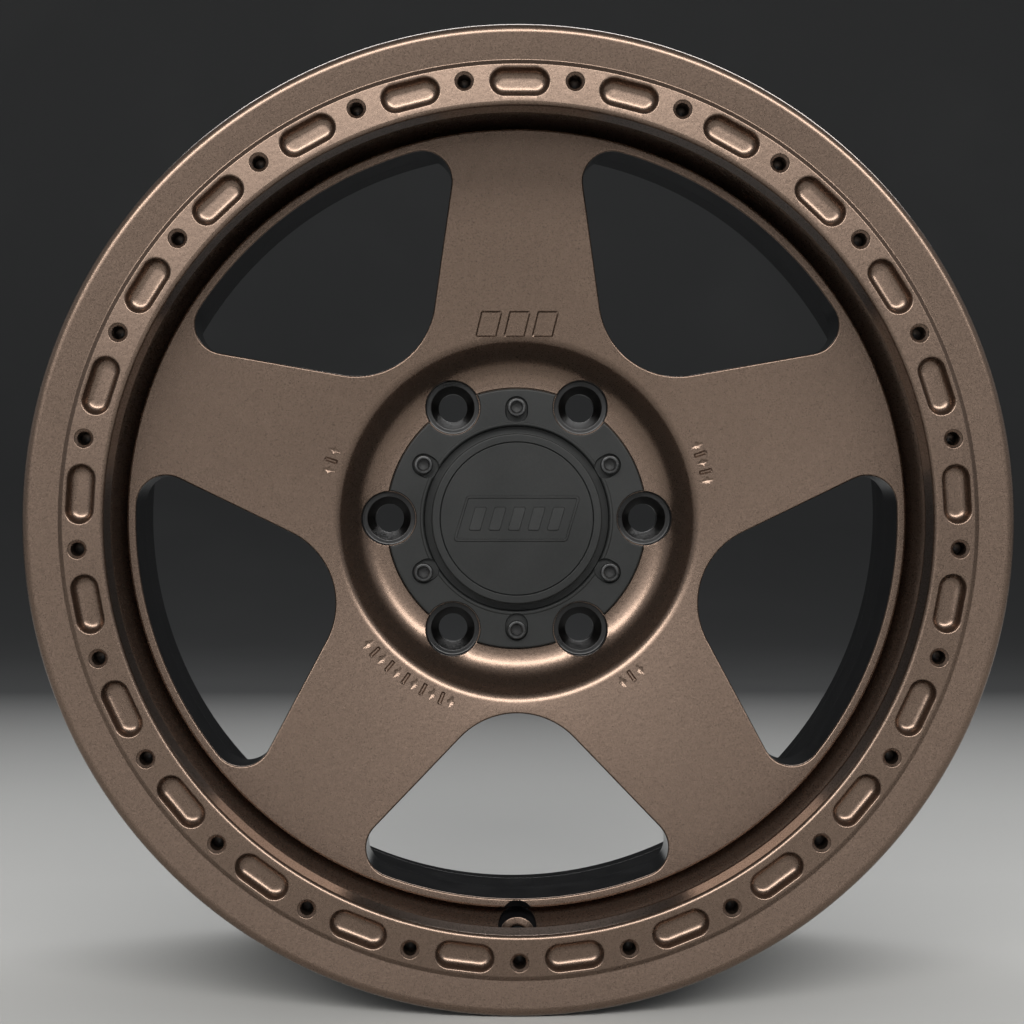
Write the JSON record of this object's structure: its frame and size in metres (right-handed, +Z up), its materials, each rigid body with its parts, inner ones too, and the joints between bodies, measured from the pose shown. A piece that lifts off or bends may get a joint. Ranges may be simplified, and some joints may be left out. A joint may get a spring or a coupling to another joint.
{
  "type": "forged racing wheel rim",
  "caption": "Forged five-spoke wheel rim with a deep stepped lip, a raised slotted ring and a screwed-on black centre cap.",
  "frame": {"origin": "middle of the rim, on the spin axis, in the plane of the hub mounting pad (zero offset)", "axes": "+Z up, +Y along the spin axis towards the vehicle, so the front face looks along -Y"},
  "size_m": [0.497, 0.254, 0.497],
  "materials": {
    "satin_bronze": "satin metallic bronze-brown paint on forged aluminium, gloss black inside the barrel",
    "satin_black": "satin black anodised and machined",
    "satin_black_insert": "satin black disc with a shallow engraved border",
    "seal_rubber": "black rubber",
    "dark_steel": "dark phosphated steel",
    "black_oxide_steel": "black oxide",
    "bright_steel": "plain stainless steel"
  },
  "bodies": {
    "wheel": {"wheel_forging": "satin_bronze", "lug_seat_1": "dark_steel", "lug_seat_2": "dark_steel", "lug_seat_3": "dark_steel", "lug_seat_4": "dark_steel", "lug_seat_5": "dark_steel", "lug_seat_6": "dark_steel", "thread_insert_1": "bright_steel", "thread_insert_2": "bright_steel", "thread_insert_3": "bright_steel", "thread_insert_4": "bright_steel", "thread_insert_5": "bright_steel", "thread_insert_6": "bright_steel"},
    "cap": {"centre_cap": "satin_black", "cap_emblem": "satin_black_insert", "cap_seal_ring": "seal_rubber"},
    "cap_screw_1": {"cap_screw_1": "black_oxide_steel"},
    "cap_screw_2": {"cap_screw_2": "black_oxide_steel"},
    "cap_screw_3": {"cap_screw_3": "black_oxide_steel"},
    "cap_screw_4": {"cap_screw_4": "black_oxide_steel"},
    "cap_screw_5": {"cap_screw_5": "black_oxide_steel"},
    "cap_screw_6": {"cap_screw_6": "black_oxide_steel"}
  },
  "joints": [
    {"name": "cap_removal", "type": "slide", "parent": "wheel", "child": "cap", "axis": [0, -1, 0], "range_m": [0, 0.06]},
    {"name": "cap_screw_1_undo", "type": "slide", "parent": "cap", "child": "cap_screw_1", "axis": [0, -1, 0], "range_m": [0, 0.016]},
    {"name": "cap_screw_2_undo", "type": "slide", "parent": "cap", "child": "cap_screw_2", "axis": [0, -1, 0], "range_m": [0, 0.016]},
    {"name": "cap_screw_3_undo", "type": "slide", "parent": "cap", "child": "cap_screw_3", "axis": [0, -1, 0], "range_m": [0, 0.016]},
    {"name": "cap_screw_4_undo", "type": "slide", "parent": "cap", "child": "cap_screw_4", "axis": [0, -1, 0], "range_m": [0, 0.016]},
    {"name": "cap_screw_5_undo", "type": "slide", "parent": "cap", "child": "cap_screw_5", "axis": [0, -1, 0], "range_m": [0, 0.016]},
    {"name": "cap_screw_6_undo", "type": "slide", "parent": "cap", "child": "cap_screw_6", "axis": [0, -1, 0], "range_m": [0, 0.016]}
  ]
}
